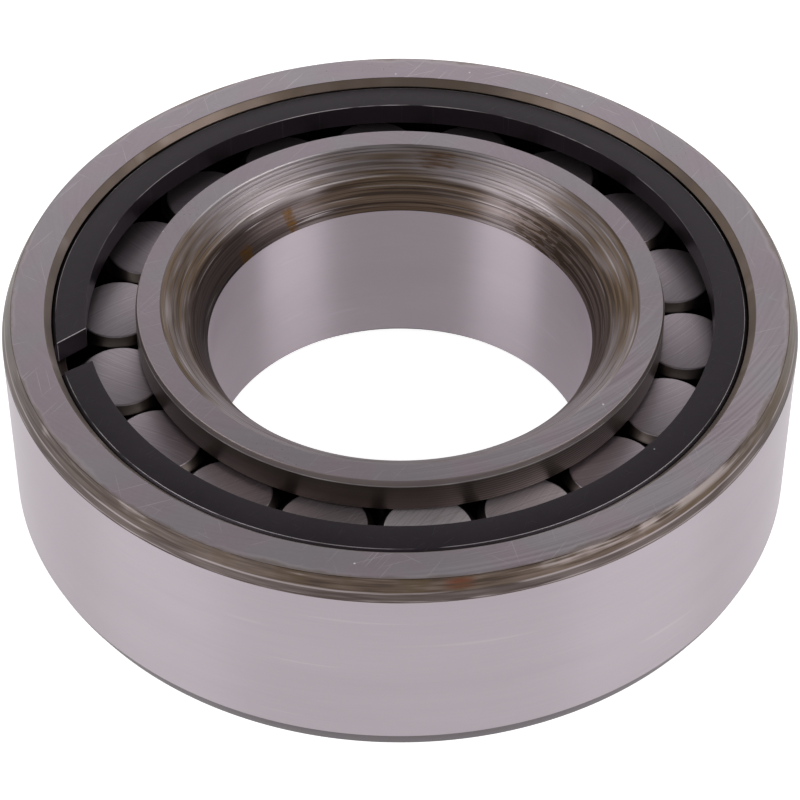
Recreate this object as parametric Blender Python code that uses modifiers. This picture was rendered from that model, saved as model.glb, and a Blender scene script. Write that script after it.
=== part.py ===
"""Full-complement cylindrical roller bearing: two rings, a split retaining ring and eighteen loose rollers.

The outer ring has one rib and, at the other end, a groove for the retaining ring. The inner ring has a rib
at each end, and its bore opens into a wide rounded mouth. There is no cage: each roller runs against its
neighbours.
Origin: on the bearing's axis, at the bottom side face. +Z runs along the axis, towards the retaining ring.
"""

from math import acos, asin, atan2, cos, hypot, pi, radians, sin

import bmesh
import bpy
from mathutils import Matrix

MM = 0.001

# Driving dimensions
BORE_DIAMETER = 39.0 * MM
WIDTH = 23.0 * MM
INNER_WALL = 4.3 * MM  # bore to inner raceway
OUTER_WALL = 6.125 * MM  # outer raceway to outside diameter
ROLLER_COUNT = 18
FIRST_ROLLER_ANGLE = radians(15.3)

# Clearances
RADIAL_CLEARANCE = 0.08 * MM  # roller to each raceway
ROLLER_SPACING = 0.1 * MM  # between neighbouring rollers
ROLLER_END_PLAY = 0.05 * MM  # roller end to rib
AXIAL_FLOAT = 0.9 * MM  # how far the rollers may move before they meet the retaining ring
GROOVE_SIDE_CLEARANCE = 0.4 * MM  # retaining ring to groove and lip, radially
GROOVE_END_CLEARANCE = 0.2 * MM  # retaining ring to groove floor, axially
BEVEL_DROP = 0.1 * MM  # lip edge below the retaining ring's top face

# Retaining ring and the lip that holds it
RING_RECESS = 0.65 * MM  # ring below the outer ring's side face
RING_THICKNESS = 2.4 * MM
RING_FACE_WIDTH = 2.94 * MM  # its top face, from its inside to its bevel
RING_BEVEL = 0.96 * MM  # the 45 degree bevel that bears on the lip
RING_EDGE_BREAK = 0.14 * MM
RING_SPLIT = 4.2 * MM  # gap between the ring's two ends
RING_SPLIT_ANGLE = radians(193.2)  # where the split is
RING_SPLIT_SKEW = radians(24.0)  # its slant from the radius
LIP_HEIGHT = 1.07 * MM  # lip beyond the outer raceway
LIP_LEAD_IN = 0.66 * MM  # the lip's mouth widens by this much

# Ribs, chamfers and reliefs
INNER_RIB_HEIGHT = 2.76 * MM  # inner ring's ribs above its raceway
OUTER_RIB_HEIGHT = 2.3 * MM  # outer ring's rib above its raceway
RIB_EDGE_BREAK = 0.4 * MM  # rib edge beside the rollers
INNER_CORNER_RADIAL = 0.2 * MM  # inner ring's outer edges
INNER_CORNER_AXIAL = 0.6 * MM
OUTER_CORNER_RADIAL = 1.0 * MM  # outer ring's outer edges
OUTER_CORNER_AXIAL = 2.15 * MM
OUTER_BREAK_RADIAL = 0.34 * MM  # the steeper facet next to the outside diameter
OUTER_BREAK_AXIAL = 0.9 * MM
OUTER_RIB_CORNER = 0.6 * MM
BORE_CORNER = 0.8 * MM
MOUTH_WIDTH = 4.56 * MM  # the bore's mouth, radially
MOUTH_DEPTH = 5.28 * MM  # and axially
MOUTH_SWELL = 0.58 * MM  # how far the mouth's arc stands out from a straight cone
RELIEF_DEPTH = 0.25 * MM  # grinding relief in each raceway corner
RELIEF_WIDTH = 0.9 * MM
ROLLER_CORNER = 0.8 * MM

# Facets
RING_STEPS = 72
ROLLER_SIDES = 24
MOUTH_STEPS = 5
MERGE = 0.00001

# Sizes that follow
BORE = BORE_DIAMETER / 2
INNER_RACEWAY = BORE + INNER_WALL
HALF_PITCH_SINE = sin(pi / ROLLER_COUNT)
# The roller that closes the circle round the inner raceway, ROLLER_COUNT of them side by side
ROLLER_RADIUS = (
    (INNER_RACEWAY + RADIAL_CLEARANCE) * HALF_PITCH_SINE - ROLLER_SPACING / 2
) / (1 - HALF_PITCH_SINE)
PITCH_RADIUS = INNER_RACEWAY + RADIAL_CLEARANCE + ROLLER_RADIUS
OUTER_RACEWAY = PITCH_RADIUS + ROLLER_RADIUS + RADIAL_CLEARANCE
OUTSIDE = OUTER_RACEWAY + OUTER_WALL
RIB_THICKNESS = RING_RECESS + RING_THICKNESS + AXIAL_FLOAT
TRACK_BOTTOM = RIB_THICKNESS
TRACK_TOP = WIDTH - RIB_THICKNESS
ROLLER_LENGTH = TRACK_TOP - TRACK_BOTTOM - 2 * ROLLER_END_PLAY
INNER_RIB = INNER_RACEWAY + INNER_RIB_HEIGHT
OUTER_RIB = OUTER_RACEWAY - OUTER_RIB_HEIGHT
LIP = OUTER_RACEWAY + LIP_HEIGHT
GROOVE = LIP + RING_BEVEL
RING_TOP = WIDTH - RING_RECESS
RING_BOTTOM = RING_TOP - RING_THICKNESS
RING_FACE_OUTSIDE = LIP - GROOVE_SIDE_CLEARANCE
RING_OUTSIDE = GROOVE - GROOVE_SIDE_CLEARANCE
RING_INSIDE = RING_FACE_OUTSIDE - RING_FACE_WIDTH


def clear_scene():
    for old in list(bpy.data.objects):
        bpy.data.objects.remove(old)


def collection(name):
    made = bpy.data.collections.new(name)
    bpy.context.scene.collection.children.link(made)
    return made


def finish(name, colour, roughness, metallic):
    """A plain Principled material."""
    made = bpy.data.materials.new(name)
    made.use_nodes = True
    shader = made.node_tree.nodes["Principled BSDF"]
    shader.inputs["Base Color"].default_value = (*colour, 1.0)
    shader.inputs["Roughness"].default_value = roughness
    shader.inputs["Metallic"].default_value = metallic
    return made


def swollen_line(start, end, swell, steps):
    """Points of the circular arc from start to end that swells out to the left of the straight line."""
    along = (end[0] - start[0], end[1] - start[1])
    half = hypot(*along) / 2
    radius = (half * half + swell * swell) / (2 * swell)
    left = (-along[1] / (2 * half), along[0] / (2 * half))
    middle = ((start[0] + end[0]) / 2, (start[1] + end[1]) / 2)
    centre = tuple(m - side * (radius - swell) for m, side in zip(middle, left))
    sweep = asin(half / radius)
    outward = atan2(left[1], left[0])
    turns = [outward + sweep - 2 * sweep * i / steps for i in range(steps + 1)]
    return [(centre[0] + radius * cos(turn), centre[1] + radius * sin(turn)) for turn in turns]


def turned(name, outline, material, home):
    """A closed outline of (radius, height) points, listed down its outer side, turned round Z."""
    mesh = bpy.data.meshes.new(name)
    count = len(outline)
    edges = [(i, (i + 1) % count) for i in range(count)]
    mesh.from_pydata([(radius, 0.0, height) for radius, height in outline], edges, [])
    made = bpy.data.objects.new(name, mesh)
    made.data.materials.append(material)
    home.objects.link(made)
    turn = made.modifiers.new("turn", "SCREW")
    turn.axis = "Z"
    turn.angle = 2 * pi
    turn.steps = RING_STEPS
    turn.render_steps = RING_STEPS
    turn.use_merge_vertices = True
    turn.merge_threshold = MERGE
    turn.use_smooth_shade = False
    return made


def outer_ring(material, home):
    """The outer ring: a rib at the bottom, and a lip over the retaining ring's groove at the top."""
    top_corner = [
        (OUTSIDE - OUTER_CORNER_RADIAL, WIDTH),
        (OUTSIDE - OUTER_BREAK_RADIAL, WIDTH - OUTER_CORNER_AXIAL + OUTER_BREAK_AXIAL),
        (OUTSIDE, WIDTH - OUTER_CORNER_AXIAL),
    ]
    bottom_corner = [(radius, WIDTH - height) for radius, height in reversed(top_corner)]
    rib = [
        (OUTER_RIB + OUTER_RIB_CORNER, 0.0),
        (OUTER_RIB, OUTER_RIB_CORNER),
        (OUTER_RIB, TRACK_BOTTOM - RIB_EDGE_BREAK),
        (OUTER_RIB + RIB_EDGE_BREAK, TRACK_BOTTOM),
    ]
    track = [
        (OUTER_RACEWAY, TRACK_BOTTOM),
        (OUTER_RACEWAY + RELIEF_DEPTH, TRACK_BOTTOM + RELIEF_WIDTH / 2),
        (OUTER_RACEWAY, TRACK_BOTTOM + RELIEF_WIDTH),
        (OUTER_RACEWAY, RING_BOTTOM - GROOVE_END_CLEARANCE),
    ]
    groove = [
        (GROOVE, RING_BOTTOM - GROOVE_END_CLEARANCE),
        (GROOVE, RING_TOP - BEVEL_DROP - RING_BEVEL),
        (LIP, RING_TOP - BEVEL_DROP),
        (LIP + LIP_LEAD_IN, WIDTH),
    ]
    return turned("outer_ring", top_corner + bottom_corner + rib + track + groove, material, home)


def inner_ring(material, home):
    """The inner ring: a rib at each end of its raceway, and a bore with a rounded mouth at the top."""
    top_rib = [
        (INNER_RIB - INNER_CORNER_RADIAL, WIDTH),
        (INNER_RIB, WIDTH - INNER_CORNER_AXIAL),
        (INNER_RIB, TRACK_TOP + RIB_EDGE_BREAK),
        (INNER_RIB - RIB_EDGE_BREAK, TRACK_TOP),
    ]
    top_track = [
        (INNER_RACEWAY, TRACK_TOP),
        (INNER_RACEWAY - RELIEF_DEPTH, TRACK_TOP - RELIEF_WIDTH / 2),
        (INNER_RACEWAY, TRACK_TOP - RELIEF_WIDTH),
    ]
    bottom_half = [(radius, WIDTH - height) for radius, height in reversed(top_rib + top_track)]
    bore = [(BORE + BORE_CORNER, 0.0), (BORE, BORE_CORNER)]
    mouth = swollen_line(
        (BORE, WIDTH - MOUTH_DEPTH), (BORE + MOUTH_WIDTH, WIDTH), MOUTH_SWELL, MOUTH_STEPS
    )
    return turned("inner_ring", top_rib + top_track + bottom_half + bore + mouth, material, home)


def split_cutter(home):
    """A slanting block across the retaining ring, where its two ends stand apart."""
    bpy.ops.mesh.primitive_cube_add(size=1.0)
    cutter = bpy.context.object
    cutter.name = "split_cutter"
    cutter.data.transform(Matrix.Diagonal((3 * RING_FACE_WIDTH, RING_SPLIT, 2 * RING_THICKNESS, 1.0)))
    middle = (RING_INSIDE + RING_FACE_OUTSIDE) / 2
    cutter.location = (
        middle * cos(RING_SPLIT_ANGLE),
        middle * sin(RING_SPLIT_ANGLE),
        (RING_TOP + RING_BOTTOM) / 2,
    )
    cutter.rotation_euler.z = RING_SPLIT_ANGLE + RING_SPLIT_SKEW
    cutter.hide_render = True
    cutter.display_type = "WIRE"
    for holder in list(cutter.users_collection):
        holder.objects.unlink(cutter)
    home.objects.link(cutter)
    return cutter


def retaining_ring(material, home, cutters):
    """A split ring whose bevelled outer edge sits under the outer ring's lip."""
    outline = [
        (RING_FACE_OUTSIDE, RING_TOP),
        (RING_OUTSIDE, RING_TOP - RING_BEVEL),
        (RING_OUTSIDE, RING_BOTTOM),
        (RING_INSIDE + RING_EDGE_BREAK, RING_BOTTOM),
        (RING_INSIDE, RING_BOTTOM + RING_EDGE_BREAK),
        (RING_INSIDE, RING_TOP - RING_EDGE_BREAK),
        (RING_INSIDE + RING_EDGE_BREAK, RING_TOP),
    ]
    ring = turned("retaining_ring", outline, material, home)
    split = ring.modifiers.new("split", "BOOLEAN")
    split.operation = "DIFFERENCE"
    split.object = split_cutter(cutters)
    return ring


def roller_mesh(material):
    """A cylinder about its own axis with bevelled ends."""
    mesh = bpy.data.meshes.new("roller")
    shape = bmesh.new()
    bmesh.ops.create_cone(
        shape,
        cap_ends=True,
        segments=ROLLER_SIDES,
        radius1=ROLLER_RADIUS,
        radius2=ROLLER_RADIUS,
        depth=ROLLER_LENGTH,
    )
    rims = [edge for edge in shape.edges if abs(edge.verts[0].co.z - edge.verts[1].co.z) < MERGE]
    bmesh.ops.bevel(shape, geom=rims, offset=ROLLER_CORNER, segments=1, affect="EDGES", profile=0.5)
    shape.to_mesh(mesh)
    shape.free()
    mesh.materials.append(material)
    mesh.shade_smooth()
    mesh.set_sharp_from_angle(angle=acos(0.8))
    return mesh


def rollers(material, home):
    mesh = roller_mesh(material)
    for number in range(ROLLER_COUNT):
        angle = FIRST_ROLLER_ANGLE + 2 * pi * number / ROLLER_COUNT
        roller = bpy.data.objects.new(f"roller_{number + 1:02d}", mesh)
        roller.location = (PITCH_RADIUS * cos(angle), PITCH_RADIUS * sin(angle), WIDTH / 2)
        roller.rotation_euler.z = angle
        home.objects.link(roller)


def main():
    clear_scene()
    bearing = collection("roller_bearing")
    cutters = collection("cutters")
    ring_steel = finish("ring_steel", (0.52, 0.49, 0.50), 0.3, 1.0)
    roller_steel = finish("roller_steel", (0.46, 0.43, 0.44), 0.35, 1.0)
    black_spring_steel = finish("black_spring_steel", (0.03, 0.028, 0.033), 0.45, 0.6)
    outer_ring(ring_steel, bearing)
    inner_ring(ring_steel, bearing)
    retaining_ring(black_spring_steel, bearing, cutters)
    rollers(roller_steel, bearing)
    bpy.context.view_layer.update()


main()
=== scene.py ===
"""The looks of a full-complement cylindrical roller bearing, as it lies on a pale floor.

Each CAD node is replaced by a finely turned piece of the same size: the outer ring, the inner ring with
the tool marks of its bore's mouth, the split retaining ring and the eighteen rollers. Ground, turned and
blackened steel each have a material of their own. Lengths are in metres, and +Z is the bearing's axis.
"""

import random
from math import asin, atan2, cos, hypot, pi, radians, sin
from types import SimpleNamespace

import bmesh
import bpy
from mathutils import Matrix, Vector


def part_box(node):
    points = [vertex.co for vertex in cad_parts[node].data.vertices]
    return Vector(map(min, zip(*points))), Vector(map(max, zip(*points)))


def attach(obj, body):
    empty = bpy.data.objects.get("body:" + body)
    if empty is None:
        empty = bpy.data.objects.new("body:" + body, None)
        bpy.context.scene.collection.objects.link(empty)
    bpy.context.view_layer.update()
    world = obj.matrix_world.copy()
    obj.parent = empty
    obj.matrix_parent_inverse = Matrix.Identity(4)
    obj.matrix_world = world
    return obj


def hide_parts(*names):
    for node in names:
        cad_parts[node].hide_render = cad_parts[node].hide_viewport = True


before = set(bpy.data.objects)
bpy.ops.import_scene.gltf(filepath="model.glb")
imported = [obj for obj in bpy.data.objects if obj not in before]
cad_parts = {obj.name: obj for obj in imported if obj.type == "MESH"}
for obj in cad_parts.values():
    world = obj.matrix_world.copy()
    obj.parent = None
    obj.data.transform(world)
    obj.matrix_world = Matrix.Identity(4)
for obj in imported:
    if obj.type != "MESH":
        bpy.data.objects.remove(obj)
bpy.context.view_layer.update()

MM = 0.001


def reach(node):
    """The smallest and largest radius of a CAD node's corners, and its lowest and highest point."""
    corners = [vertex.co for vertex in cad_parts[node].data.vertices]
    radii = [hypot(corner.x, corner.y) for corner in corners]
    heights = [corner.z for corner in corners]
    return min(radii), max(radii), min(heights), max(heights)


# Sizes read from the frame
OUTER_RIB, OUTSIDE, BOTTOM, TOP = reach("outer_ring")
BORE, INNER_RIB = reach("inner_ring")[:2]
RING_INSIDE, RING_OUTSIDE, RING_BOTTOM, RING_TOP = reach("retaining_ring")
ROLLER_IN, ROLLER_OUT, ROLLER_BOTTOM, ROLLER_TOP = reach("roller_01")
ROLLERS = sorted(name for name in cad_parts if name.startswith("roller_"))
ROLLER_RADIUS = (ROLLER_OUT - ROLLER_IN) / 2
ROLLER_HALF = (ROLLER_TOP - ROLLER_BOTTOM) / 2

# Running clearances
RADIAL_CLEARANCE = 0.08 * MM
ROLLER_END_PLAY = 0.05 * MM
GROOVE_SIDE_CLEARANCE = 0.4 * MM
GROOVE_END_CLEARANCE = 0.2 * MM
INNER_RACEWAY = ROLLER_IN - RADIAL_CLEARANCE
OUTER_RACEWAY = ROLLER_OUT + RADIAL_CLEARANCE
TRACK_BOTTOM = ROLLER_BOTTOM - ROLLER_END_PLAY
TRACK_TOP = ROLLER_TOP + ROLLER_END_PLAY

# Edges and corners
OUTER_CORNER = (1.0 * MM, 2.15 * MM)  # radial and axial
OUTER_BREAK = (0.34 * MM, 0.9 * MM)
INNER_CORNER = (0.2 * MM, 0.6 * MM)
OUTER_RIB_CORNER = 0.6 * MM
BORE_CORNER = 0.8 * MM
RIB_EDGE_BREAK = 0.4 * MM
RELIEF_DEPTH = 0.25 * MM
RELIEF_WIDTH = 0.9 * MM
RELIEF_STEPS = 6
EASED = 0.05 * MM  # every sharp edge is eased by this much
MOUTH_WIDTH = 4.56 * MM
MOUTH_DEPTH = 5.28 * MM
MOUTH_SWELL = 0.58 * MM
RING_BEVEL = 0.96 * MM
BEVEL_DROP = 0.1 * MM
LIP_LEAD_IN = 0.66 * MM
ROLLER_CORNER = 0.8 * MM
ROLLER_EASE = 0.1 * MM
RETAINER_EASE = 0.03 * MM
LIP = RING_OUTSIDE + GROOVE_SIDE_CLEARANCE - RING_BEVEL

# The retaining ring's two ends, each from its inner to its outer edge
UPPER_END = (radians(187.7), radians(190.7))
LOWER_END = (radians(196.4), radians(197.9))

# Rollers whose ends are scuffed and painted with a sheen brighter than the rest, and how much
RUB_AND_SHEEN_ENDS = {"roller_12": 0.15, "roller_13": 0.35, "roller_14": 0.95, "roller_15": 0.55}
LIGHT_RUB_AND_SHEEN = 0.08  # at most, on the other rollers
ROLLER_SEED = 11

# Tool marks in the bore's mouth
TOOL_MARKS = 17
MARK_STEPS = 5
MARK_DEPTH = 0.035 * MM
SHALLOWEST_MARK = 0.25  # as a share of the depth
MARK_SEED = 4

# Fineness
RING_STEPS = 288
ROLLER_SIDES = 96
SHARP = radians(14)  # an edge that turns more is shaded sharp
EASED_ANGLE = radians(22)  # and one that turns more than this is eased
ROLLER_RIM_ANGLE = radians(45)
ACROSS_THE_LINES = 0.25  # a quarter turn of the shading direction
MERGE = 0.000001
OFF_AXIS = 0.00001  # keeps a heading finite on the axis itself
NEAR = 0.1 * MM  # how near to its surface a face of a ring lies
LEVEL = 0.999  # a level face's normal points up or down by more than this
UPRIGHT = 0.01  # and an upright face's by less than this

# The two ground rounds: how much smoother than plain grinding, and their darkest and lightest tint
OUTSIDE_GRIND = (0.21, (0.325, 0.284, 0.312), (0.415, 0.367, 0.400))
BORE_GRIND = (0.03, (0.410, 0.358, 0.393), (0.525, 0.463, 0.505))

# Places round the bearing where its finishes change or where highlights and light are painted: the
# heading, from +X towards +Y, and the spread
BRUSHED_FACE = (radians(-46), radians(50))
WIDER_SMEAR = (radians(270), radians(75))
GREYER_EDGE = (radians(205), radians(60))
WORN_LIT_EDGE = (radians(307), radians(30))
RUBBED_LIT_EDGE = (radians(214), radians(26))
RUST_SPOT = (radians(278), radians(3))
OIL_BACK = (radians(90), radians(34))
OIL_LEFT = (radians(180), radians(50))
OIL_RIGHT = (radians(8), radians(54))
OIL_DAB = (radians(80), radians(9))
SCALE_LEFT = (radians(165), radians(70))
SCALE_RIGHT = (radians(15), radians(54))
SCALE_DARKEST = (radians(160), radians(58))
TORN_SIDE = (radians(41), radians(19))
LIT_DIVIDE = (radians(125), radians(40))
LIT_BRINK = (radians(133), radians(36))
LINED_FLANGE = (radians(-45), radians(42))
LIT_FLANGE = (radians(195), radians(60))
BARE_LIT_INNER_EDGE = (radians(95), radians(90))
BY_UPPER_END = (radians(189), radians(6))

# Runs of thick oil in the mouth: heading, spread, and the depths at which each starts and is full
OIL_RUNS = (
    (radians(125), radians(3.4), 2.5 * MM, 3.2 * MM),
    (radians(144), radians(4.8), 3.4 * MM, 4.4 * MM),
)

# Scratches: heading, length, width, the noise level above which there is a mark, and seed
FACE_SCRATCHES = (
    (radians(20), 9.0 * MM, 0.09 * MM, 0.78, 1.0),
    (radians(56), 9.0 * MM, 0.10 * MM, 0.77, 5.0),
    (radians(-33), 6.0 * MM, 0.09 * MM, 0.80, 9.0),
    (radians(104), 8.0 * MM, 0.08 * MM, 0.80, 14.0),
)
BLACK_SCRATCHES = (
    (radians(40), 2.4 * MM, 0.09 * MM, 0.77, 3.0),
    (radians(-25), 1.8 * MM, 0.08 * MM, 0.79, 8.0),
    (radians(75), 2.6 * MM, 0.07 * MM, 0.79, 12.0),
)
ROLLER_SCRATCHES = (
    (radians(35), 3.5 * MM, 0.09 * MM, 0.77, 2.0),
    (radians(-62), 2.6 * MM, 0.08 * MM, 0.79, 6.0),
)
SLASH_HEADING = radians(57)

# Other sizes of the finishes
FACET_LINE = OUTER_CORNER[1] - OUTER_BREAK[1]  # below the side face, where the outer chamfer's facets meet
SMEAR_FROM = 1.40 * MM  # in from the outside radius, where the brown smear on the side face starts
SMEAR_FULL = 0.85 * MM
RUB_FROM = 1.60 * MM  # and the rubbed line before it
RUB_FULL = 1.15 * MM
THROAT_FROM = 1.8 * MM  # down the mouth, where the dark throat starts
THROAT_FULL = 2.9 * MM
TURNING_PITCH = 0.30 * MM  # of the lines on the inner ring's rib

# Camera and light
CAMERA_DISTANCE = 310.8 * MM  # from the middle of the top side face
CAMERA_ELEVATION = radians(41.67)
CAMERA_TILT = radians(43.61)
CAMERA_LENS = 139.2
FLOOR_SIZE = 6.0
FLOOR_GLOW = 0.90
WALL_TOP = radians(30)
CEILING = radians(51)
WALL_RADIANCE = 1.22
CEILING_RADIANCE = 0.17
SOFTBOX_RADIANCE = 2.8
SOFTBOX_PLACE = (0.71, -0.34, 0.50)  # of the right one, and the left one mirrors it
SOFTBOX_SIZE = (0.58, 0.50)
NEAREST_SEEN = 0.01

FACE, OUTSIDE_ROUND, BORE_ROUND, SCALE, MOUTH, FLANGE, TRACK = range(7)  # material slots of the rings


# Shader maths


class Wire:
    """A value in a material's nodes. Python's operators on it add Math nodes."""

    def __init__(self, paint, socket):
        self.paint = paint
        self.socket = socket

    def __add__(self, other):
        return self.paint.math("ADD", self, other)

    def __radd__(self, other):
        return self.paint.math("ADD", other, self)

    def __sub__(self, other):
        return self.paint.math("SUBTRACT", self, other)

    def __rsub__(self, other):
        return self.paint.math("SUBTRACT", other, self)

    def __mul__(self, other):
        return self.paint.math("MULTIPLY", self, other)

    def __rmul__(self, other):
        return self.paint.math("MULTIPLY", other, self)

    def __truediv__(self, other):
        return self.paint.math("DIVIDE", self, other)

    def __pow__(self, other):
        return self.paint.math("POWER", self, other)


class Nodes:
    """A node tree being wired up."""

    def __init__(self, tree):
        self.nodes = tree.nodes
        self.links = tree.links

    def node(self, kind, settings=None, inputs=None):
        """A node with its settings, and the values or links of its sockets."""
        made = self.nodes.new(kind)
        for name, value in (settings or {}).items():
            setattr(made, name, value)
        for name, value in (inputs or {}).items():
            self.plug(made.inputs[name], value)
        return made

    def plug(self, socket, value):
        """Links a socket or sets its value. A colour is given without its alpha."""
        if isinstance(value, Wire):
            value = value.socket
        if isinstance(value, bpy.types.NodeSocket):
            self.links.new(value, socket)
        elif socket.type == "RGBA":
            socket.default_value = (*value, 1.0)
        else:
            socket.default_value = value


class Paint(Nodes):
    """A material being painted: its nodes, its coordinates and the shader that they feed."""

    def __init__(self, name, metallic, attribute=None):
        self.material = bpy.data.materials.new(name)
        self.material.use_nodes = True
        super().__init__(self.material.node_tree)
        self.shader = self.nodes["Principled BSDF"]
        self.shader.inputs["Metallic"].default_value = metallic
        if attribute:
            place = self.node("ShaderNodeAttribute", {"attribute_name": attribute}).outputs["Vector"]
        else:
            place = self.node("ShaderNodeTexCoord").outputs["Object"]
        split = self.node("ShaderNodeSeparateXYZ", {}, {"Vector": place})
        self.x, self.y, self.z = (Wire(self, split.outputs[axis]) for axis in "XYZ")
        self.radius = (self.x * self.x + self.y * self.y) ** 0.5
        self.east = self.x / (self.radius + OFF_AXIS)
        self.north = self.y / (self.radius + OFF_AXIS)

    def math(self, operation, *values):
        made = self.node("ShaderNodeMath", {"operation": operation}, dict(enumerate(values)))
        return Wire(self, made.outputs[0])

    def most(self, one, other):
        return self.math("MAXIMUM", one, other)

    def vector(self, x, y, z):
        return self.node("ShaderNodeCombineXYZ", {}, {"X": x, "Y": y, "Z": z}).outputs[0]

    def noise(self, vector, detail=1.0):
        """Smooth noise, about 0.5 on average, with one swell for each unit of the vector."""
        inputs = {"Vector": vector, "Scale": 1.0, "Detail": detail, "Roughness": 0.5}
        return Wire(self, self.node("ShaderNodeTexNoise", {}, inputs).outputs[0])

    def clouds(self, scale, detail):
        """Noise all through a piece, with scale swells to the metre."""
        return self.noise(self.vector(self.x * scale, self.y * scale, self.z * scale), detail)

    def level_clouds(self, scale, detail, seed):
        """Noise over a level face, with scale swells to the metre."""
        return self.noise(self.vector(self.x * scale, self.y * scale, seed), detail)

    def ramp(self, value, low, high, start=0.0, end=1.0):
        """Goes smoothly from start to end while value goes from low to high, and is level outside."""
        inputs = {"Value": value, "From Min": low, "From Max": high, "To Min": start, "To Max": end}
        made = self.node("ShaderNodeMapRange", {"interpolation_type": "SMOOTHSTEP"}, inputs)
        return Wire(self, made.outputs[0])

    def band(self, value, centre, half_width, blur):
        """1 where value is within half_width of centre, fading to 0 over blur."""
        apart = self.math("ABSOLUTE", value - centre)
        return self.ramp(apart, half_width, half_width + blur, 1.0, 0.0)

    def mix(self, amount, low, high):
        """A colour between low and high, each a colour or a link."""
        made = self.node("ShaderNodeMix", {"data_type": "RGBA"}, {0: amount, 6: low, 7: high})
        return made.outputs[2]

    def towards(self, heading, spread):
        """1 on the side of the axis that heading points to, fading to 0 at spread on either side."""
        facing = self.east * cos(heading) + self.north * sin(heading)
        return self.ramp(facing, cos(spread), 1.0)

    def round_marks(self, turns, across, seed=0.0, detail=1.0, flare=1.0):
        """Noise drawn out round the axis: turns swells to the radian, across swells to the metre.

        flare is 1 where the surface widens upwards and -1 where it narrows.
        """
        other_way = self.radius * across * flare + self.z * across * 0.83 + seed
        return self.noise(self.vector(self.east * turns, self.north * turns, other_way), detail)

    def scratches(self, heading, long, wide, share, seed):
        """Thin straight marks along heading: 1 on a mark, 0 beside it."""
        along = self.x * cos(heading) + self.y * sin(heading)
        across = self.y * cos(heading) - self.x * sin(heading)
        field = self.noise(self.vector(along / long, across / wide, seed), 0.0)
        return self.ramp(field, share, share + 0.04)

    def crossed_scratches(self, rows):
        """Scratches in several directions, one for each row."""
        marks = self.scratches(*rows[0])
        for row in rows[1:]:
            marks = self.most(marks, self.scratches(*row))
        return marks

    def arcs(self, centre, wide, seed):
        """Fine grinding lines on circles about a centre away from the axis."""
        dx = self.x - centre[0]
        dy = self.y - centre[1]
        away = (dx * dx + dy * dy) ** 0.5
        bend = self.noise(self.vector(dx * 60.0, dy * 60.0, seed), 1.0)
        return self.noise(self.vector(away / wide, bend * 2.0, seed), 1.0)

    def specks(self, cell, size, share, seed):
        """A few small round specks of dust on a level face: a share of the cells has one."""
        place = self.vector(self.x / cell + seed, self.y / cell, 0.0)
        flat = {"voronoi_dimensions": "2D"}
        cells = self.node("ShaderNodeTexVoronoi", flat, {"Vector": place, "Scale": 1.0})
        near = self.ramp(Wire(self, cells.outputs["Distance"]), size * 0.6, size, 1.0, 0.0)
        pick = self.node("ShaderNodeSeparateColor", {}, {"Color": cells.outputs["Color"]})
        return near * self.ramp(Wire(self, pick.outputs[0]), 1.0 - share, 1.0 - share + 0.001)

    def drawn_out(self, amount):
        """Draws highlights out across the turning lines, which run round the axis."""
        self.shader.inputs["Anisotropic"].default_value = amount
        self.shader.inputs["Anisotropic Rotation"].default_value = ACROSS_THE_LINES

    def finish(self, colour, roughness, height=None, depth=1.0, metallic=None):
        """Feeds the shader. height is in units of depth metres."""
        self.plug(self.shader.inputs["Base Color"], colour)
        self.plug(self.shader.inputs["Roughness"], roughness)
        if metallic is not None:
            self.plug(self.shader.inputs["Metallic"], metallic)
        if height is not None:
            bump = self.node("ShaderNodeBump", {}, {"Strength": 1.0, "Distance": depth, "Height": height})
            self.plug(self.shader.inputs["Normal"], bump.outputs[0])
        return self.material


# Materials


def ground_round(name, smoothness, dark, light):
    """The ground outside diameter or bore: satin, with fine lines round the axis."""
    paint = Paint(name, 1.0)
    paint.drawn_out(1.0)
    fine = paint.round_marks(7.0, 7000.0, 3.0)
    broad = paint.round_marks(1.6, 320.0, 11.0, 2.0)
    soft = paint.clouds(30.0, 2.0)
    streak = paint.ramp(paint.round_marks(2.2, 1500.0, 23.0), 0.68, 0.76)
    tone = broad * 0.4 + soft * 0.3 + fine * 0.3
    steel = paint.mix(tone, dark, light)
    colour = paint.mix(streak * 0.12, steel, (0.66, 0.60, 0.64))
    roughness = 0.48 - smoothness + fine * 0.04 + soft * 0.03
    return paint.finish(colour, roughness, fine * 0.7 + broad * 0.6, 0.0010 * MM)


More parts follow.
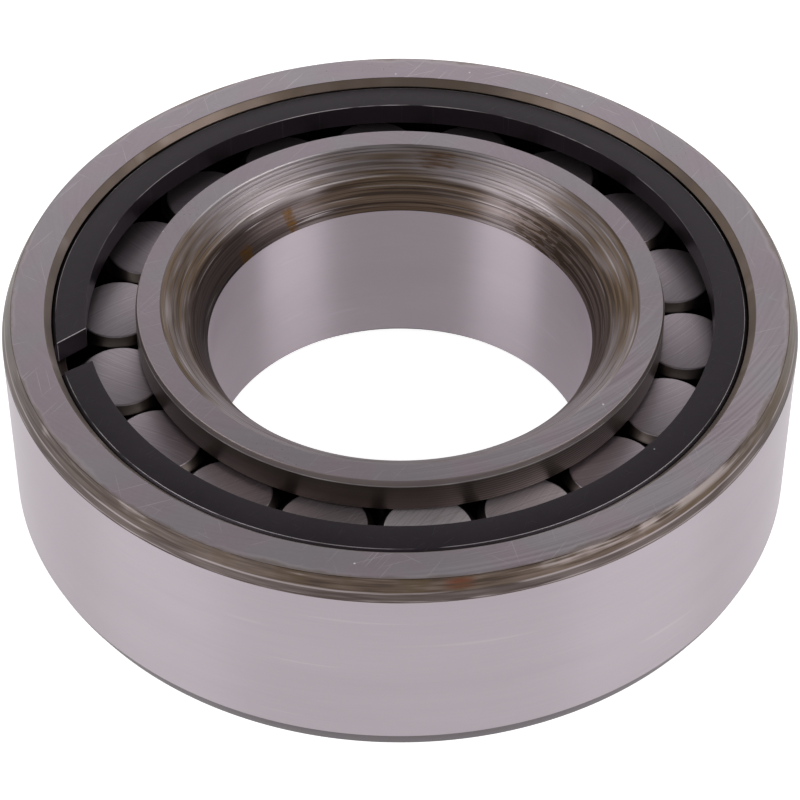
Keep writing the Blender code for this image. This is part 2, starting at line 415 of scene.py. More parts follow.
def ground_face():
    """The side faces: ground flat, with grinding arcs, a few scratches and a smear of brown at the rim."""
    paint = Paint("ground_face", 1.0)
    grain = paint.level_clouds(2600.0, 2.0, 0.0)
    cloud = paint.level_clouds(60.0, 3.0, 4.0)
    cast = paint.level_clouds(130.0, 2.0, 9.0)
    lines = paint.ramp(paint.arcs((-5.0 * MM, 16.0 * MM), 0.31 * MM, 2.0), 0.28, 0.72)
    fine = paint.arcs((-30.0 * MM, 60.0 * MM), 0.11 * MM, 7.0)
    brushed = paint.towards(*BRUSHED_FACE)
    marks = paint.crossed_scratches(FACE_SCRATCHES)
    tone = cloud * 0.4 + grain * 0.2 + lines * (brushed * 0.75 + 0.1) + fine * 0.15
    mauve = paint.mix(tone, (0.330, 0.268, 0.303), (0.485, 0.408, 0.452))
    grey = paint.mix(tone, (0.315, 0.282, 0.305), (0.465, 0.425, 0.455))
    steel = paint.mix(paint.ramp(cast, 0.35, 0.65), mauve, grey)
    on_inner_ring = paint.ramp(paint.radius, INNER_RIB, INNER_RIB + MM, 1.0, 0.0)
    steel = paint.mix(marks * (0.55 - on_inner_ring * 0.25), steel, (0.74, 0.69, 0.72))
    steel = paint.mix(on_inner_ring * 0.12, steel, (0.0, 0.0, 0.0))
    dust = paint.specks(4.0 * MM, 0.030, 0.12, 6.0) * 0.6
    colour = paint.mix(dust, rim_smear(paint, steel), (0.85, 0.85, 0.85))
    roughness = 0.24 + cloud * 0.06 + grain * 0.04
    height = lines * brushed * 0.9 + fine * 0.25 + grain * 0.3
    return paint.finish(colour, roughness, height, 0.0020 * MM, 1.0 - dust)


def rim_smear(paint, steel):
    """The chamfer's brown creeping in over a side face, with a scuffed light line before it."""
    rim = paint.round_marks(3.0, 500.0, 31.0, 2.0)
    drip = paint.noise(paint.vector(paint.east * 14.0, paint.north * 14.0, 3.0), 3.0)
    wider = paint.towards(*WIDER_SMEAR)
    edge = paint.radius + ((rim - 0.5) * 1.6 + (drip - 0.5) * 1.2 + wider * 0.2) * MM
    smear = paint.ramp(edge, OUTSIDE - SMEAR_FROM, OUTSIDE - SMEAR_FULL)
    light_rim = paint.ramp(edge, OUTSIDE - RUB_FROM, OUTSIDE - RUB_FULL)
    colour = paint.mix(light_rim * paint.ramp(rim, 0.40, 0.55) * 0.5, steel, (0.58, 0.51, 0.53))
    return paint.mix(smear * 0.6, colour, (0.21, 0.165, 0.135))


def scaled_edge():
    """The turned chamfers: brown from hardening, streaked round the ring, and light in places, partly
    scuffed steel and partly painted highlight.
    """
    paint = Paint("scaled_edge", 0.92)
    paint.drawn_out(0.7)
    down = TOP - paint.z
    thin = paint.round_marks(9.0, 4600.0, 2.0, 1.0, -1.0)
    streaks = paint.round_marks(6.0, 1700.0, 9.0, 1.0, -1.0)
    patch = paint.round_marks(11.0, 160.0, 4.0, 2.0, -1.0)
    tone = thin * 0.45 + streaks * 0.55
    scale = edge_scale(paint, down, tone, patch)
    colour = edge_wear_and_highlights(paint, scale, down, tone, patch, thin, streaks)
    rust = paint.towards(*RUST_SPOT) * paint.band(down, 0.55 * MM, 0.25 * MM, 0.4 * MM)
    colour = paint.mix(rust * paint.ramp(tone, 0.25, 0.60) * 0.9, colour, (0.115, 0.036, 0.019))
    lead_in = paint.ramp(paint.radius, OUTSIDE - 3.0 * MM, OUTSIDE - 2.0 * MM, 1.0, 0.0)
    colour = paint.mix(lead_in * 0.30, colour, (0.24, 0.19, 0.165))
    # greyer and without the brown below the ring's middle
    greyer_below = paint.ramp(paint.z, TOP * 0.35, TOP * 0.65, 1.0, 0.0)
    grey = paint.mix(streaks, (0.075, 0.061, 0.068), (0.108, 0.090, 0.100))
    colour = paint.mix(greyer_below, colour, grey)
    return paint.finish(colour, 0.36 + streaks * 0.14, thin + streaks, 0.004 * MM)


def edge_scale(paint, down, tone, patch):
    """The outer chamfer's scale: brown on the upper facet, greyer on the lower one and at the left."""
    brown = paint.mix(paint.ramp(tone, 0.30, 0.70), (0.050, 0.035, 0.027), (0.142, 0.106, 0.087))
    brown = paint.mix(paint.ramp(patch, 0.45, 0.60) * 0.7, brown, (0.082, 0.056, 0.034))
    grey_brown = paint.mix(paint.ramp(tone, 0.30, 0.70), (0.062, 0.048, 0.046), (0.132, 0.109, 0.105))
    lower = paint.ramp(down, FACET_LINE - 0.1 * MM, FACET_LINE + 0.1 * MM)
    greyer = paint.most(lower * 0.8, paint.towards(*GREYER_EDGE) * 0.7)
    return paint.mix(greyer, brown, grey_brown)


def edge_wear_and_highlights(paint, scale, down, tone, patch, thin, streaks):
    """Light lines where the outer chamfer's facets meet and at its foot, and light patches near the side
    face, most at the right front: all partly scuffed steel and partly painted highlight.
    """
    # painted highlights, partly scuffed steel, along the facet line and the chamfer's foot
    facet_line = paint.band(down, FACET_LINE + 0.02 * MM, 0.05 * MM, 0.06 * MM)
    foot_line = paint.band(down, OUTER_CORNER[1] - 0.16 * MM, 0.03 * MM, 0.06 * MM)
    lines = facet_line * paint.ramp(streaks, 0.36, 0.56) + foot_line * paint.ramp(thin, 0.40, 0.65)
    colour = paint.mix(lines * 0.6, scale, (0.36, 0.31, 0.32))
    # light patches scuffed bare, which also paint in the chamfer's highlight where it catches the light
    wear_and_sheen = paint.most(paint.towards(*WORN_LIT_EDGE), paint.towards(*RUBBED_LIT_EDGE) * 0.15)
    high = paint.ramp(down, 0.35 * MM, 0.95 * MM, 1.0, 0.0)
    worn_and_lit = paint.ramp(wear_and_sheen * 0.5 + (patch - 0.5) * 1.2 + (tone - 0.5) * 1.8, 0.15, 0.60) * high
    return paint.mix(worn_and_lit * 0.6, colour, (0.37, 0.318, 0.318))


def mouth_marks(paint):
    """The patterns that the finishes of the bore's mouth share."""
    depth = TOP - paint.z
    fine = paint.round_marks(1.3, 4400.0, 1.0, 2.0)
    coarse = paint.round_marks(0.7, 2500.0, 8.0, 1.0)
    long_streaks = paint.round_marks(2.6, 900.0, 15.0, 2.0)
    cut = paint.vector(paint.east * 10.0, paint.north * 10.0, (paint.z + paint.radius * 0.8) * 2300.0)
    ragged_depth = depth + (long_streaks - 0.5) * 0.8 * MM
    return SimpleNamespace(
        depth=depth,
        fine=fine,
        coarse=coarse,
        long_streaks=long_streaks,
        torn=paint.noise(cut, 2.0),
        cloud=paint.round_marks(2.2, 190.0, 5.0, 2.0),
        ragged_depth=ragged_depth,
        low=paint.ramp(ragged_depth, THROAT_FROM, THROAT_FULL),
    )


def oiled(paint, marks):
    """How brown with old oil the mouth is: most at the back and at both sides."""
    oil = paint.towards(*OIL_BACK) * (marks.low * 0.55 + 0.42)
    oil = paint.most(oil, paint.towards(*OIL_LEFT) * (marks.low * 0.4 + 0.65))
    oil = paint.most(oil, paint.towards(*OIL_RIGHT) * (marks.low * 0.4 + 0.65))
    ragged = (marks.cloud - 0.5) * 0.7 + (marks.long_streaks - 0.5) * 1.3
    ragged = ragged + (marks.coarse - 0.5) * 0.5 + (marks.fine - 0.5) * 0.6
    return paint.ramp(oil + ragged + marks.low * 0.10, 0.10, 0.95)


def mouth_steel(paint, marks, oil):
    """Bright turned steel, brown where it is oiled and dark with scale in the throat."""
    bright_tone = marks.fine * 0.6 + marks.cloud * 0.4
    bright = paint.mix(bright_tone, (0.215, 0.183, 0.190), (0.400, 0.355, 0.368))
    stained_tone = paint.ramp(marks.coarse * 0.4 + marks.fine * 0.6, 0.30, 0.70)
    stained = paint.mix(stained_tone, (0.060, 0.037, 0.022), (0.200, 0.140, 0.094))
    colour = paint.mix(oil, bright, stained)
    sides = paint.most(paint.towards(*SCALE_LEFT), paint.towards(*SCALE_RIGHT) * 0.75)
    scale_tone = paint.ramp(marks.coarse * 0.6 + marks.fine * 0.4, 0.36, 0.64)
    scale = paint.mix(scale_tone, (0.032, 0.022, 0.020), (0.125, 0.094, 0.088))
    colour = paint.mix(marks.low * (sides * 0.60 + 0.34), colour, scale)
    return paint.mix(marks.low * paint.towards(*SCALE_DARKEST) * 0.62, colour, (0.012, 0.008, 0.008))


def mouth_scores(paint, marks, colour):
    """Dark hairlines and grooves round the mouth."""
    hair = paint.ramp(paint.round_marks(1.5, 3800.0, 60.0, 1.0), 0.42, 0.35)
    colour = paint.mix(hair * 0.55, colour, (0.070, 0.050, 0.042))
    groove = paint.ramp(marks.coarse, 0.47, 0.39) * (marks.low * 0.70 + 0.10)
    return paint.mix(groove * 0.8, colour, (0.040, 0.028, 0.024))


def mouth_painted_highlights(paint, marks, oil, colour):
    """Painted highlights on the crests between the grooves, and painted highlight lines above the throat
    and at the face.
    """
    # painted highlights on the crests between the grooves
    crest_highlight = paint.ramp(paint.round_marks(1.8, 3400.0, 40.0, 1.0), 0.64, 0.72)
    colour = paint.mix(crest_highlight * (1.0 - oil * 0.5) * 0.4, colour, (0.62, 0.57, 0.58))
    # a painted highlight line above the throat, on its lit side
    divide_highlight = paint.band(marks.ragged_depth, 2.15 * MM, 0.05 * MM, 0.05 * MM) * paint.towards(*LIT_DIVIDE)
    colour = paint.mix(divide_highlight * paint.ramp(marks.fine, 0.40, 0.60) * 0.6, colour, (0.70, 0.65, 0.66))
    # a painted highlight line at the face's edge, on its lit side
    brink_highlight = paint.band(marks.depth, 0.03 * MM, 0.03 * MM, 0.04 * MM) * paint.towards(*LIT_BRINK)
    return paint.mix(brink_highlight * paint.ramp(marks.cloud, 0.35, 0.55) * 0.7, colour, (0.75, 0.70, 0.72))


def oil_runs(paint, marks, colour):
    """Two runs of thick oil low in the mouth, and a dab smeared under its edge."""
    runs = None
    for heading, spread, start, full in OIL_RUNS:
        run = paint.towards(heading, spread) * paint.ramp(marks.depth, start, full)
        runs = paint.most(runs, run) if runs else run
    blots = paint.noise(paint.vector(paint.east * 36.0, paint.north * 36.0, paint.z * 2400.0), 2.0)
    spread = paint.ramp(runs + (blots - 0.5) * 1.2, 0.25, 0.95) * paint.ramp(runs, 0.0, 0.35)
    colour = paint.mix(spread * 0.9, colour, (0.072, 0.036, 0.011))
    dab = paint.towards(*OIL_DAB) * paint.band(marks.depth, 0.9 * MM, 0.2 * MM, 0.9 * MM) * 0.55
    ragged = (marks.torn - 0.5) * 0.9 + (marks.fine - 0.5) * 0.5
    smeared = paint.ramp(dab + ragged, 0.25, 0.70) * paint.ramp(dab, 0.0, 0.25)
    return paint.mix(smeared * 0.8, colour, (0.105, 0.048, 0.014))


def turned_mouth():
    """The bore's mouth: tool marks round the ring, with painted highlights on their crests, under brown
    oil and scale.
    """
    paint = Paint("turned_mouth", 1.0)
    paint.drawn_out(0.85)
    marks = mouth_marks(paint)
    oil = oiled(paint, marks)
    colour = mouth_steel(paint, marks, oil)
    colour = mouth_scores(paint, marks, colour)
    tear = paint.ramp(marks.torn, 0.49, 0.44) * paint.towards(*TORN_SIDE)
    tear = tear * paint.ramp(marks.depth, 1.6 * MM, 2.8 * MM)
    colour = paint.mix(tear * 0.9, colour, (0.040, 0.026, 0.018))
    colour = mouth_painted_highlights(paint, marks, oil, colour)
    colour = oil_runs(paint, marks, colour)
    roughness = 0.42 - marks.low * 0.08 + oil * 0.08 + marks.torn * 0.04
    height = marks.coarse * (marks.low * 0.5 + 0.10) + marks.fine * 0.4 - tear * 0.5
    return paint.finish(colour, roughness, height, 0.006 * MM)


def turned_flange():
    """The inner ring's rib: dark scale, turning lines that show on one side, painted lighter on its lit
    side, and a corner with a painted highlight, partly scuffed steel, along its foot.
    """
    paint = Paint("turned_flange", 0.9)
    fine = paint.round_marks(2.0, 3000.0, 3.0)
    ripple = paint.math("SINE", paint.z * (2 * pi / TURNING_PITCH))
    lined = paint.towards(*LINED_FLANGE)
    lit = paint.towards(*LIT_FLANGE)
    cloud = paint.round_marks(4.0, 300.0, 9.0, 2.0)
    dark = paint.mix(cloud, (0.056, 0.038, 0.032), (0.104, 0.078, 0.069))
    # lit: the rib is painted lighter on the side where the light falls
    light = (ripple * 0.18 + 0.26) * lined + lit * 0.10
    colour = paint.mix(light + fine * 0.08, dark, (0.44, 0.37, 0.35))
    corner_foot = TOP - INNER_CORNER[1]
    corner = paint.ramp(paint.z, corner_foot - 0.02 * MM, corner_foot + 0.04 * MM)
    colour = paint.mix(corner * 0.7, colour, (0.30, 0.25, 0.25))
    # a light line along the corner's foot: partly scuffed steel, partly painted highlight
    patchy = paint.ramp(paint.round_marks(5.0, 300.0, 19.0, 2.0), 0.38, 0.55)
    worn_and_lit = paint.band(paint.z, corner_foot, 0.04 * MM, 0.05 * MM) * (patchy * 0.5 + 0.5)
    colour = paint.mix(worn_and_lit * 0.8, colour, (0.72, 0.67, 0.67))
    height = ripple * lined * 0.5 + fine * 0.6
    return paint.finish(colour, 0.34 + cloud * 0.10, height, 0.0030 * MM)


def honed_track():
    """Raceways: the finest grind, seen only in the gaps."""
    paint = Paint("honed_track", 1.0)
    fine = paint.round_marks(8.0, 6000.0, 4.0)
    colour = paint.mix(fine, (0.24, 0.21, 0.22), (0.30, 0.27, 0.28))
    return paint.finish(colour, 0.18 + fine * 0.06, fine, 0.0006 * MM)


def blackened():
    """The retaining ring: black oxide, semi-matt, scratched, with its edges scuffed to bright steel, those
    along the top partly a painted highlight.
    """
    paint = Paint("blackened_spring_steel", 0.6)
    grain = paint.clouds(1500.0, 2.0)
    cloud = paint.clouds(90.0, 2.0)
    marks = paint.crossed_scratches(BLACK_SCRATCHES)
    black = paint.mix(cloud * 0.6 + grain * 0.4, (0.0175, 0.0125, 0.0165), (0.032, 0.024, 0.031))
    black = paint.mix(marks * 0.2, black, (0.13, 0.12, 0.13))
    colour = paint.mix(bare_and_lit_edges(paint) * 0.8, black, (0.46, 0.42, 0.44))
    dust = paint.specks(3.5 * MM, 0.026, 0.08, 9.0) * 0.5
    colour = paint.mix(dust, colour, (0.8, 0.8, 0.8))
    return paint.finish(colour, 0.36 + cloud * 0.10, grain, 0.0015 * MM)


def bare_and_lit_edges(paint):
    """Where the black is scuffed off: in places along the flat top's two edges, which are partly painted
    highlight, and along its upper end.
    """
    bare = paint.round_marks(6.0, 400.0, 5.0, 3.0)
    on_top = paint.ramp(paint.z, RING_TOP - 0.07 * MM, RING_TOP - 0.03 * MM)
    # the top's inner and outer edges: partly bare steel, partly painted highlight
    bare_lit_inner_edge = paint.band(paint.radius, RING_INSIDE + 0.02 * MM, 0.03 * MM, 0.03 * MM) * on_top
    bare_lit_inner_edge = bare_lit_inner_edge * paint.towards(*BARE_LIT_INNER_EDGE)
    bare_lit_outer_edge = paint.band(paint.radius, RING_OUTSIDE - RING_BEVEL, 0.02 * MM, 0.02 * MM)
    cut_from = Vector((cos(UPPER_END[0]), sin(UPPER_END[0]))) * RING_INSIDE
    cut_to = Vector((cos(UPPER_END[1]), sin(UPPER_END[1]))) * (RING_OUTSIDE - RING_BEVEL)
    across = (cut_to - cut_from).orthogonal().normalized()
    from_cut = paint.x * across.x + paint.y * across.y - cut_from.dot(across)
    cut_edge = paint.band(from_cut, 0.0, 0.05 * MM, 0.05 * MM) * paint.towards(*BY_UPPER_END) * on_top
    along_rings = bare_lit_inner_edge * paint.ramp(bare, 0.40, 0.60) + bare_lit_outer_edge * paint.ramp(bare, 0.36, 0.52)
    return along_rings + cut_edge


def roller_steel():
    """A roller: ground ends with arcs and scratches; dark unground corners and a dark polished side,
    partly dark scale and partly painted shade from the parts round them.
    """
    paint = Paint("roller_steel", 1.0, "place")
    rub_and_sheen = Wire(paint, paint.node("ShaderNodeAttribute", {"attribute_name": "rub_and_sheen"}).outputs["Fac"])
    end_edge = ROLLER_RADIUS - ROLLER_CORNER
    flat = paint.ramp(paint.radius, end_edge + 0.04 * MM, end_edge + 0.12 * MM, 1.0, 0.0)
    from_middle = paint.math("ABSOLUTE", paint.z)
    end = flat * paint.ramp(from_middle, ROLLER_HALF - 0.2 * MM, ROLLER_HALF - 0.1 * MM)
    lines = paint.ramp(paint.arcs((12.0 * MM, -22.0 * MM), 0.20 * MM, 3.0), 0.30, 0.70)
    cross = paint.arcs((-30.0 * MM, 8.0 * MM), 0.12 * MM, 8.0)
    cloud = paint.clouds(160.0, 2.0)
    grain = paint.clouds(2500.0, 1.0)
    marks = paint.crossed_scratches(ROLLER_SCRATCHES)
    tone = cloud * 0.45 + lines * 0.40 + cross * 0.15
    steel = paint.mix(tone, (0.255, 0.213, 0.237), (0.435, 0.373, 0.408))
    # a painted sheen on the scuffed ends of the front rollers, brightest on one
    steel = paint.mix(rub_and_sheen * (lines * 0.4 + 0.85), steel, (0.98, 0.93, 0.97))
    steel = paint.mix(marks * 0.45, steel, (0.62, 0.57, 0.60))
    shallow = paint.scratches(SLASH_HEADING, 5.0 * MM, 0.20 * MM, 0.58, 21.0)
    steel = paint.mix(shallow * rub_and_sheen * 0.22, steel, (0.42, 0.37, 0.39))
    deep = paint.scratches(SLASH_HEADING, 4.0 * MM, 0.11 * MM, 0.70, 26.0)
    steel = paint.mix(deep * rub_and_sheen * 0.8, steel, (1.0, 0.95, 0.98))
    # the corners and side: partly dark scale, partly painted shade from the rollers and rings round them
    side = paint.mix(cloud, (0.050, 0.040, 0.036), (0.100, 0.082, 0.074))
    colour = paint.mix(end, side, steel)
    roughness = 0.31 + cloud * 0.08 + end * 0.05 + rub_and_sheen * end * 0.16
    height = (lines * 0.6 + cross * 0.5 + grain * 0.2) * end
    return paint.finish(colour, roughness, height, 0.0022 * MM)


# Shapes


def swollen_line(start, end, swell, steps):
    """The points and the centre of an arc from start to end that swells out to the left by swell."""
    along = Vector(end) - Vector(start)
    half = along.length / 2
    radius = (half * half + swell * swell) / (2 * swell)
    left = Vector((-along.y, along.x)).normalized()
    centre = Vector(start) + along / 2 - left * (radius - swell)
    sweep = asin(half / radius)
    outward = atan2(left.y, left.x)
    turns = [outward + sweep - 2 * sweep * i / steps for i in range(steps + 1)]
    return [centre + Vector((cos(turn), sin(turn))) * radius for turn in turns], centre


def mouth_outline():
    """The bore's rounded mouth with its tool marks, from the bore up to the side face."""
    dice = random.Random(MARK_SEED)
    steps = TOOL_MARKS * MARK_STEPS
    start = (BORE, TOP - MOUTH_DEPTH)
    end = (BORE + MOUTH_WIDTH, TOP)
    points, centre = swollen_line(start, end, MOUTH_SWELL, steps)
    depths = [dice.uniform(SHALLOWEST_MARK, 1.0) * MARK_DEPTH for _ in range(TOOL_MARKS)]
    outline = []
    for i, point in enumerate(points):
        mark = min(i // MARK_STEPS, TOOL_MARKS - 1)
        sink = depths[mark] * sin(pi * (i / MARK_STEPS - mark)) if i < steps else 0.0
        inward = (centre - point).normalized()
        outline.append(tuple(point + inward * sink))
    return outline


def relief(radius, low, outward):
    """A shallow round grinding relief in a raceway, from low up; outward is 1 or -1."""
    points = []
    for i in range(RELIEF_STEPS + 1):
        turn = pi * i / RELIEF_STEPS
        height = low + RELIEF_WIDTH * (1 - cos(turn)) / 2
        points.append((radius + outward * RELIEF_DEPTH * sin(turn), height))
    return points


def mirrored(points):
    """The same points upside down, in the order that carries on down the outline."""
    return [(radius, TOP + BOTTOM - height) for radius, height in reversed(points)]


def outer_outline():
    """The outer ring, from its top chamfer down the outside and up through the raceway and the groove."""
    corner = [
        (OUTSIDE - OUTER_CORNER[0], TOP),
        (OUTSIDE - OUTER_BREAK[0], TOP - OUTER_CORNER[1] + OUTER_BREAK[1]),
        (OUTSIDE, TOP - OUTER_CORNER[1]),
    ]
    rib = [
        (OUTER_RIB + OUTER_RIB_CORNER, BOTTOM),
        (OUTER_RIB, BOTTOM + OUTER_RIB_CORNER),
        (OUTER_RIB, TRACK_BOTTOM - RIB_EDGE_BREAK),
        (OUTER_RIB + RIB_EDGE_BREAK, TRACK_BOTTOM),
    ]
    groove_floor = RING_BOTTOM - GROOVE_END_CLEARANCE
    groove = [
        (OUTER_RACEWAY, groove_floor),
        (LIP + RING_BEVEL, groove_floor),
        (LIP + RING_BEVEL, RING_TOP - BEVEL_DROP - RING_BEVEL),
        (LIP, RING_TOP - BEVEL_DROP),
        (LIP + LIP_LEAD_IN, TOP),
    ]
    return corner + mirrored(corner) + rib + relief(OUTER_RACEWAY, TRACK_BOTTOM, 1) + groove


def inner_outline():
    """The inner ring, from its top rib down past the raceway and up through the bore and its mouth."""
    rib = [
        (INNER_RIB - INNER_CORNER[0], TOP),
        (INNER_RIB, TOP - INNER_CORNER[1]),
        (INNER_RIB, TRACK_TOP + RIB_EDGE_BREAK),
        (INNER_RIB - RIB_EDGE_BREAK, TRACK_TOP),
    ]
    half = rib + relief(INNER_RACEWAY, TRACK_TOP - RELIEF_WIDTH, -1)[::-1]
    bore = [(BORE + BORE_CORNER, BOTTOM), (BORE, BOTTOM + BORE_CORNER)]
    return half + mirrored(half) + bore + mouth_outline()


def sharp_edges(shape, angle):
    return [edge for edge in shape.edges if edge.is_manifold and edge.calc_face_angle() > angle]


def ease(shape, width, segments, angle=EASED_ANGLE):
    """Bevels every edge sharper than angle."""
    bmesh.ops.bevel(
        shape, geom=sharp_edges(shape, angle), offset=width, offset_type="OFFSET", segments=segments,
        profile=0.5, affect="EDGES", material=-1, clamp_overlap=True,
    )


def spun(outline, steps, start=0.0, angle=2 * pi):
    """A bmesh turned from a closed outline of (radius, height) points."""
    shape = bmesh.new()
    places = [(radius * cos(start), radius * sin(start), height) for radius, height in outline]
    corners = [shape.verts.new(place) for place in places]
    edges = [shape.edges.new(pair) for pair in zip(corners, corners[1:] + corners[:1])]
    whole = angle >= 2 * pi
    bmesh.ops.spin(
        shape, geom=corners + edges, cent=(0, 0, 0), axis=(0, 0, 1), angle=angle, steps=steps,
        use_merge=whole, use_duplicate=False,
    )
    bmesh.ops.remove_doubles(shape, verts=shape.verts, dist=MERGE)
    return shape


def piece(name, shape, materials, body, node):
    """Makes a bmesh an object that rides on body and stands for a CAD node."""
    bmesh.ops.recalc_face_normals(shape, faces=shape.faces)
    mesh = bpy.data.meshes.new(name)
    shape.to_mesh(mesh)
    shape.free()
    for material in materials:
        mesh.materials.append(material)
    mesh.shade_smooth()
    mesh.set_sharp_from_angle(angle=SHARP)
    made = bpy.data.objects.new(name, mesh)
    bpy.context.scene.collection.objects.link(made)
    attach(made, body)
    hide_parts(node)
    return made


def ring_finish(face):
    """Which of the rings' materials a face takes, from where it is and where it faces."""
    middle = face.calc_center_median()
    radius = hypot(middle.x, middle.y)
    outward = abs(face.normal.z) < UPRIGHT
    on_top_or_bottom = min(abs(middle.z - TOP), abs(middle.z - BOTTOM)) < MERGE
    if abs(face.normal.z) > LEVEL and on_top_or_bottom:
        return FACE
    if outward and radius > OUTSIDE - NEAR:
        return OUTSIDE_ROUND
    if outward and radius < BORE + NEAR:
        return BORE_ROUND
    if radius < BORE + MOUTH_WIDTH + EASED and middle.z > TOP - MOUTH_DEPTH - EASED:
        return MOUTH
    if abs(radius - INNER_RIB) < INNER_CORNER[0] + EASED:
        return FLANGE
    if outward and min(abs(radius - INNER_RACEWAY), abs(radius - OUTER_RACEWAY)) < RELIEF_DEPTH:
        return TRACK
    return SCALE


def ring(name, outline, materials, body):
    shape = spun(outline, RING_STEPS)
    ease(shape, EASED, 1)
    bmesh.ops.recalc_face_normals(shape, faces=shape.faces)
    for face in shape.faces:
        face.material_index = ring_finish(face)
    return piece(name, shape, materials, body, name)


def retaining_ring(material):
    """Turned short of a full circle and capped, with its ends slanted by turning each radius further."""
    outline = [
        (RING_OUTSIDE - RING_BEVEL, RING_TOP),
        (RING_OUTSIDE, RING_TOP - RING_BEVEL),
        (RING_OUTSIDE, RING_BOTTOM),
        (RING_INSIDE, RING_BOTTOM),
        (RING_INSIDE, RING_TOP),
    ]
    start = sum(LOWER_END) / 2
    sweep = 2 * pi + sum(UPPER_END) / 2 - start
    shape = spun(outline, RING_STEPS, start, sweep)
    bmesh.ops.holes_fill(shape, edges=[edge for edge in shape.edges if edge.is_boundary])
    bmesh.ops.recalc_face_normals(shape, faces=shape.faces)
    face_middle = (RING_INSIDE + RING_OUTSIDE - RING_BEVEL) / 2
    face_width = RING_OUTSIDE - RING_BEVEL - RING_INSIDE
    for corner in shape.verts:
        place = corner.co
        radius = hypot(place.x, place.y)
        share = ((atan2(place.y, place.x) - start) % (2 * pi)) / sweep
        share = 0.0 if share > 1.0 + MERGE else share
        lean = (1 - share) * (LOWER_END[1] - LOWER_END[0]) + share * (UPPER_END[1] - UPPER_END[0])
        place.rotate(Matrix.Rotation(lean * (radius - face_middle) / face_width, 3, "Z"))
    ease(shape, RETAINER_EASE, 2)
    name = "retaining_ring_blackened"
    return piece(name, shape, [material], "outer", "retaining_ring")


def roller(node, material, dice):
    """One roller where its CAD node is, with a random turn of its grinding marks."""
    low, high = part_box(node)
    middle = (Vector(low) + Vector(high)) / 2
    shape = bmesh.new()
    bmesh.ops.create_cone(
        shape, cap_ends=True, segments=ROLLER_SIDES, radius1=ROLLER_RADIUS, radius2=ROLLER_RADIUS,
        depth=2 * ROLLER_HALF,
    )
    bmesh.ops.bevel(
        shape, geom=sharp_edges(shape, ROLLER_RIM_ANGLE), offset=ROLLER_CORNER, offset_type="OFFSET",
        segments=1, profile=0.5, affect="EDGES", material=-1,
    )
    ease(shape, ROLLER_EASE, 3)
    made = piece(f"{node}_ground", shape, [material], node, node)
    places = made.data.attributes.new("place", "FLOAT_VECTOR", "POINT")
    turn = dice.uniform(0, 2 * pi)
    spin = Matrix.Rotation(0.0 if node in RUB_AND_SHEEN_ENDS else turn, 4, "Z")
    for vertex, place in zip(made.data.vertices, places.data):
        place.vector = spin @ vertex.co
    # how much the roller's end is scuffed and painted with a sheen
    rub_and_sheen = made.data.attributes.new("rub_and_sheen", "FLOAT", "POINT")
    amount = RUB_AND_SHEEN_ENDS.get(node, dice.uniform(0.0, LIGHT_RUB_AND_SHEEN))
    for wear_and_sheen in rub_and_sheen.data:
        wear_and_sheen.value = amount
    made.data.transform(Matrix.Translation(middle))
    return made


# Stage


def stage():
    """A plain pale floor."""
    shape = bmesh.new()
    bmesh.ops.create_grid(shape, x_segments=1, y_segments=1, size=FLOOR_SIZE / 2)
    mesh = bpy.data.meshes.new("floor")
    shape.to_mesh(mesh)
    shape.free()
    paint = Paint("floor_white", 0.0)
    white = paint.mix(paint.level_clouds(3.0, 1.0, 0.0), (0.49, 0.49, 0.49), (0.51, 0.51, 0.51))
    mesh.materials.append(paint.finish(white, 0.9))
    paint.plug(paint.shader.inputs["Emission Color"], (1.0, 1.0, 1.0))
    paint.shader.inputs["Emission Strength"].default_value = FLOOR_GLOW
    paint.shader.inputs["Specular IOR Level"].default_value = 0.0
    floor = bpy.data.objects.new("floor", mesh)
    bpy.context.scene.collection.objects.link(floor)


def aim(thing, target):
    thing.rotation_euler = (Vector(target) - thing.location).to_track_quat("-Z", "Y").to_euler()


def softbox(name, place, size, radiance):
    """A rectangular area light that faces the bearing, of an even radiance."""
    light = bpy.data.lights.new(name, "AREA")
    light.shape = "RECTANGLE"
    light.size, light.size_y = size
    light.energy = radiance * pi * size[0] * size[1]
    made = bpy.data.objects.new(name, light)
    made.location = place
    bpy.context.scene.collection.objects.link(made)
    aim(made, (0, 0, TOP / 2))


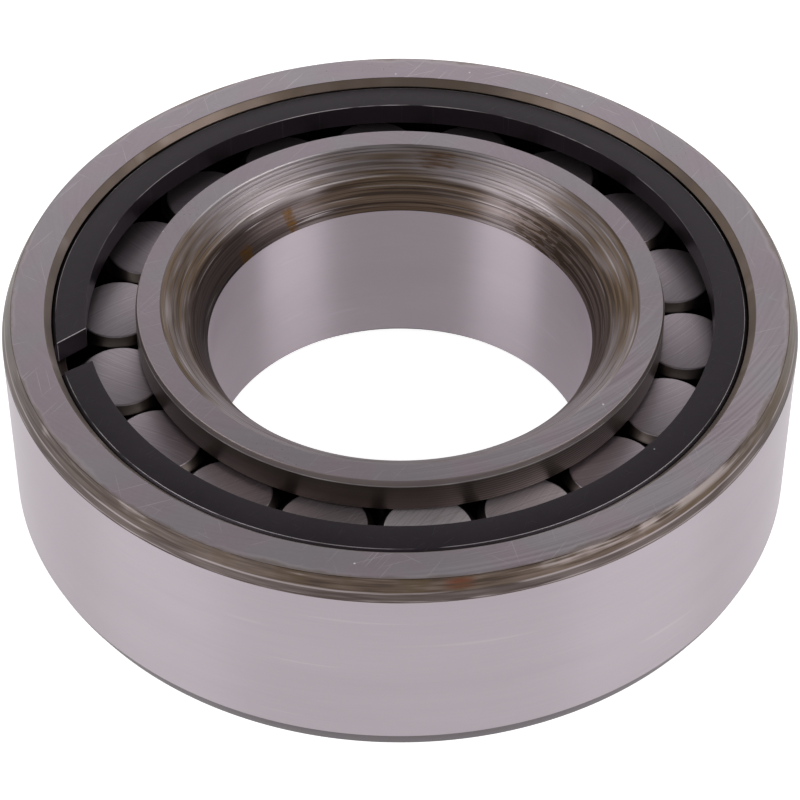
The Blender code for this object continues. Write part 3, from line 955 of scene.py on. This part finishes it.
def studio():
    """Pale walls all round under a dim ceiling."""
    world = bpy.data.worlds.new("studio")
    world.use_nodes = True
    tree = Nodes(world.node_tree)
    direction = tree.node("ShaderNodeTexCoord").outputs["Generated"]
    upwards = tree.node("ShaderNodeSeparateXYZ", {}, {"Vector": direction}).outputs["Z"]
    levels = {
        "Value": upwards,
        "From Min": sin(WALL_TOP),
        "From Max": sin(CEILING),
        "To Min": WALL_RADIANCE,
        "To Max": CEILING_RADIANCE,
    }
    fade = tree.node("ShaderNodeMapRange", {"interpolation_type": "SMOOTHSTEP"}, levels)
    background = tree.nodes["Background"]
    tree.plug(background.inputs["Color"], (1.0, 1.0, 1.0))
    tree.plug(background.inputs["Strength"], fade.outputs["Result"])
    bpy.context.scene.world = world


def lights():
    studio()
    across, along, up = SOFTBOX_PLACE
    softbox("softbox_left", (-across, along, up), SOFTBOX_SIZE, SOFTBOX_RADIANCE)
    softbox("softbox_right", (across, along, up), SOFTBOX_SIZE, SOFTBOX_RADIANCE)


def camera():
    view = bpy.data.cameras.new("camera")
    view.lens = CAMERA_LENS
    view.clip_start = NEAREST_SEEN
    made = bpy.data.objects.new("camera", view)
    away = CAMERA_DISTANCE * cos(CAMERA_ELEVATION)
    above = CAMERA_DISTANCE * sin(CAMERA_ELEVATION)
    made.location = (0.0, -away, TOP + above)
    made.rotation_euler = (pi / 2 - CAMERA_TILT, 0.0, 0.0)
    bpy.context.scene.collection.objects.link(made)
    bpy.context.scene.camera = made


def main():
    camera()
    lights()
    stage()
    finishes = [
        ground_face(),
        ground_round("ground_outside", *OUTSIDE_GRIND),
        ground_round("ground_bore", *BORE_GRIND),
        scaled_edge(),
        turned_mouth(),
        turned_flange(),
        honed_track(),
    ]
    ring("outer_ring", outer_outline(), finishes, "outer")
    ring("inner_ring", inner_outline(), finishes, "inner")
    retaining_ring(blackened())
    steel = roller_steel()
    dice = random.Random(ROLLER_SEED)
    for node in ROLLERS:
        roller(node, steel, dice)
    bpy.context.scene.view_settings.view_transform = "Standard"


main()
